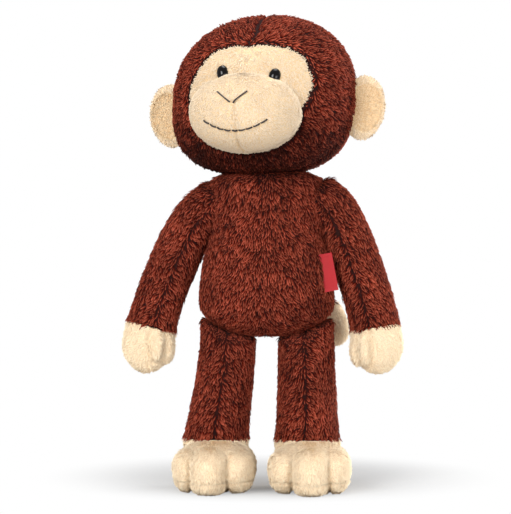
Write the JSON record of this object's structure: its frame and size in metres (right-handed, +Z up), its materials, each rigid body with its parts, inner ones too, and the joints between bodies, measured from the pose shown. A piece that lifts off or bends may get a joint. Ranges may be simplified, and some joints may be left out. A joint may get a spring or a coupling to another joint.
{
  "type": "plush_monkey",
  "caption": "Standing plush monkey with a shaggy brown body and head, cream face, ears, mitts, feet and tail tip, stitched nose and smile, black eyes and a small red side label",
  "frame": {"origin": "on the floor under the middle of the toy's footprint box", "axes": "+X is the toy's left, +Y its back, +Z up. Its chest faces -Y."},
  "size_m": [0.226, 0.1703, 0.378],
  "materials": {
    "brown_pile": "matte",
    "cream_pile": "matte",
    "stuffing": "matte",
    "embroidery_thread": "satin",
    "woven_label": "satin",
    "eye_plastic": "gloss",
    "washer_plastic": "matte"
  },
  "bodies": {
    "torso": {"torso_cover": "brown_pile", "torso_stuffing": "stuffing"},
    "head": {"head_cover": "brown_pile", "face_panel": "cream_pile", "muzzle_cover": "cream_pile", "head_stuffing": "stuffing", "eye_left": "eye_plastic", "eye_right": "eye_plastic", "eye_washer_left": "washer_plastic", "eye_washer_right": "washer_plastic", "nose_stitch_left": "embroidery_thread", "nose_stitch_right": "embroidery_thread", "mouth_stitch": "embroidery_thread"},
    "ear_flap_left": {"ear_left": "cream_pile"},
    "ear_flap_right": {"ear_right": "cream_pile"},
    "arm_left": {"arm_cover_left": "brown_pile", "hand_left": "cream_pile", "arm_stuffing_left": "stuffing"},
    "arm_right": {"arm_cover_right": "brown_pile", "hand_right": "cream_pile", "arm_stuffing_right": "stuffing"},
    "leg_left": {"leg_cover_left": "brown_pile", "foot_upper_left": "cream_pile", "foot_sole_left": "cream_pile", "leg_stuffing_left": "stuffing"},
    "leg_right": {"leg_cover_right": "brown_pile", "foot_upper_right": "cream_pile", "foot_sole_right": "cream_pile", "leg_stuffing_right": "stuffing"},
    "tail": {"tail_cover": "brown_pile", "tail_tip": "cream_pile", "tail_stuffing": "stuffing"},
    "label": {"side_label": "woven_label"}
  },
  "joints": [
    {"name": "neck_turn", "type": "hinge", "parent": "torso", "child": "head", "pos_m": [0.00041, 0.01804, 0.249], "axis": [0, 0, 1], "range_deg": [-36, 53]},
    {"name": "ear_left_flex", "type": "hinge", "parent": "head", "child": "ear_flap_left", "pos_m": [0.07315, 0.01359, 0.3035], "axis": [0.1043, -0.0064, 0.9945], "range_deg": [-20, 20], "stiffness_Nm_per_rad": 0.02},
    {"name": "ear_right_flex", "type": "hinge", "parent": "head", "child": "ear_flap_right", "pos_m": [-0.07046, 0.03505, 0.2989], "axis": [-0.1016, 0.0244, 0.9945], "range_deg": [-20, 20], "stiffness_Nm_per_rad": 0.02},
    {"name": "shoulder_left", "type": "hinge", "parent": "torso", "child": "arm_left", "pos_m": [0.06061, 0.02004, 0.221], "axis": [-1, 0, 0], "range_deg": [-30, 90]},
    {"name": "shoulder_right", "type": "hinge", "parent": "torso", "child": "arm_right", "pos_m": [-0.05339, 0.02004, 0.221], "axis": [-1, 0, 0], "range_deg": [-30, 90]},
    {"name": "hip_left", "type": "hinge", "parent": "torso", "child": "leg_left", "pos_m": [0.03501, 0.02004, 0.107], "axis": [-1, 0, 0], "range_deg": [-20, 90]},
    {"name": "hip_right", "type": "hinge", "parent": "torso", "child": "leg_right", "pos_m": [-0.02779, 0.02004, 0.107], "axis": [-1, 0, 0], "range_deg": [-20, 90]},
    {"name": "tail_swing", "type": "hinge", "parent": "torso", "child": "tail", "pos_m": [0.01161, 0.05604, 0.143], "axis": [0, 0, 1], "range_deg": [0, 40]},
    {"name": "label_flap", "type": "hinge", "parent": "torso", "child": "label", "pos_m": [0.04901, -0.00226, 0.187], "axis": [-0.1822, 0, 0.9833], "range_deg": [-60, 15], "stiffness_Nm_per_rad": 0.0005, "deforming": ["side_label"]}
  ]
}
